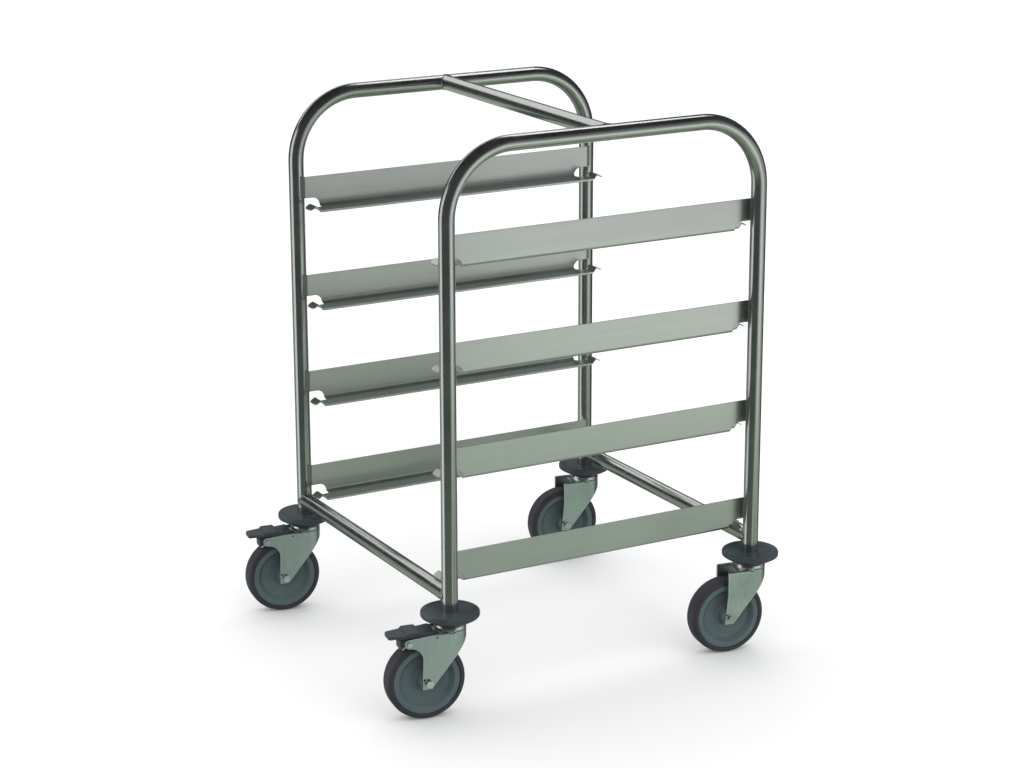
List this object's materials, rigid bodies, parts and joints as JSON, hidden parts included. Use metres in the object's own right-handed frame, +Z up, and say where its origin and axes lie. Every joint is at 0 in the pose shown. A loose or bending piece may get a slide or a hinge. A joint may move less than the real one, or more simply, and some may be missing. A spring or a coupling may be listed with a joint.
{
  "type": "basket trolley",
  "caption": "Open rack trolley of bent steel tube with facing L-shaped runners that carry dish baskets, on swivel castors with round bumpers and brakes",
  "frame": {"origin": "on the floor, midway between the four legs", "axes": "+X runs along the runners away from the braked castors, +Y is the left side, +Z is up"},
  "size_m": [0.7136, 0.629, 0.9067],
  "materials": {
    "tube_steel": "polished stainless tube with fine grinding lines around it",
    "sheet_steel": "fine brushed stainless sheet",
    "zinc_steel": "bright zinc plated pressed steel",
    "bumper_rubber": "dark grey soft moulded plastic",
    "wheel_plastic": "grey moulded polypropylene",
    "tyre_rubber": "dark grey non-marking rubber, smooth",
    "pedal_plastic": "dark grey moulded plastic"
  },
  "bodies": {
    "frame": {"front_cross_tube": "tube_steel", "left_hoop_tube": "tube_steel", "left_runner_1": "sheet_steel", "left_runner_2": "sheet_steel", "left_runner_3": "sheet_steel", "left_runner_4": "sheet_steel", "rear_cross_tube": "tube_steel", "right_hoop_tube": "tube_steel", "right_runner_1": "sheet_steel", "right_runner_2": "sheet_steel", "right_runner_3": "sheet_steel", "right_runner_4": "sheet_steel", "top_cross_tube": "tube_steel", "rear_right_bumper": "bumper_rubber", "rear_right_stem": "zinc_steel", "rear_right_upper_race": "zinc_steel", "rear_left_bumper": "bumper_rubber", "rear_left_stem": "zinc_steel", "rear_left_upper_race": "zinc_steel", "front_right_bumper": "bumper_rubber", "front_right_stem": "zinc_steel", "front_right_upper_race": "zinc_steel", "front_left_bumper": "bumper_rubber", "front_left_stem": "zinc_steel", "front_left_upper_race": "zinc_steel"},
    "rear_right_castor": {"rear_right_fork": "zinc_steel", "rear_right_swivel_balls": "zinc_steel", "rear_right_axle_bolt": "zinc_steel", "rear_right_axle_sleeve": "zinc_steel", "rear_right_brake_pivot": "zinc_steel"},
    "rear_right_wheel": {"rear_right_wheel_core": "wheel_plastic", "rear_right_tyre": "tyre_rubber"},
    "rear_right_brake": {"rear_right_brake_pedal": "pedal_plastic", "rear_right_brake_shoe": "zinc_steel"},
    "rear_left_castor": {"rear_left_fork": "zinc_steel", "rear_left_swivel_balls": "zinc_steel", "rear_left_axle_bolt": "zinc_steel", "rear_left_axle_sleeve": "zinc_steel", "rear_left_brake_pivot": "zinc_steel"},
    "rear_left_wheel": {"rear_left_wheel_core": "wheel_plastic", "rear_left_tyre": "tyre_rubber"},
    "rear_left_brake": {"rear_left_brake_pedal": "pedal_plastic", "rear_left_brake_shoe": "zinc_steel"},
    "front_right_castor": {"front_right_fork": "zinc_steel", "front_right_swivel_balls": "zinc_steel", "front_right_axle_bolt": "zinc_steel", "front_right_axle_sleeve": "zinc_steel"},
    "front_right_wheel": {"front_right_wheel_core": "wheel_plastic", "front_right_tyre": "tyre_rubber"},
    "front_left_castor": {"front_left_fork": "zinc_steel", "front_left_swivel_balls": "zinc_steel", "front_left_axle_bolt": "zinc_steel", "front_left_axle_sleeve": "zinc_steel"},
    "front_left_wheel": {"front_left_wheel_core": "wheel_plastic", "front_left_tyre": "tyre_rubber"}
  },
  "joints": [
    {"name": "rear_right_swivel", "type": "hinge", "parent": "frame", "child": "rear_right_castor", "pos_m": [-0.28, -0.268, 0.14], "axis": [0, 0, 1], "continuous": true},
    {"name": "rear_right_roll", "type": "hinge", "parent": "rear_right_castor", "child": "rear_right_wheel", "pos_m": [-0.32296, -0.2612, 0.0635], "axis": [0.1564, 0.9877, 0], "continuous": true},
    {"name": "rear_right_brake", "type": "hinge", "parent": "rear_right_castor", "child": "rear_right_brake", "pos_m": [-0.35309, -0.25642, 0.1315], "axis": [-0.1564, -0.9877, 0], "range_deg": [0, 11]},
    {"name": "rear_left_swivel", "type": "hinge", "parent": "frame", "child": "rear_left_castor", "pos_m": [-0.28, 0.268, 0.14], "axis": [0, 0, 1], "continuous": true},
    {"name": "rear_left_roll", "type": "hinge", "parent": "rear_left_castor", "child": "rear_left_wheel", "pos_m": [-0.32296, 0.27481, 0.0635], "axis": [0.1564, 0.9877, 0], "continuous": true},
    {"name": "rear_left_brake", "type": "hinge", "parent": "rear_left_castor", "child": "rear_left_brake", "pos_m": [-0.35309, 0.27958, 0.1315], "axis": [-0.1564, -0.9877, 0], "range_deg": [0, 11]},
    {"name": "front_right_swivel", "type": "hinge", "parent": "frame", "child": "front_right_castor", "pos_m": [0.28, -0.268, 0.14], "axis": [0, 0, 1], "continuous": true},
    {"name": "front_right_roll", "type": "hinge", "parent": "front_right_castor", "child": "front_right_wheel", "pos_m": [0.23704, -0.2612, 0.0635], "axis": [0.1564, 0.9877, 0], "continuous": true},
    {"name": "front_left_swivel", "type": "hinge", "parent": "frame", "child": "front_left_castor", "pos_m": [0.28, 0.268, 0.14], "axis": [0, 0, 1], "continuous": true},
    {"name": "front_left_roll", "type": "hinge", "parent": "front_left_castor", "child": "front_left_wheel", "pos_m": [0.23704, 0.27481, 0.0635], "axis": [0.1564, 0.9877, 0], "continuous": true}
  ]
}
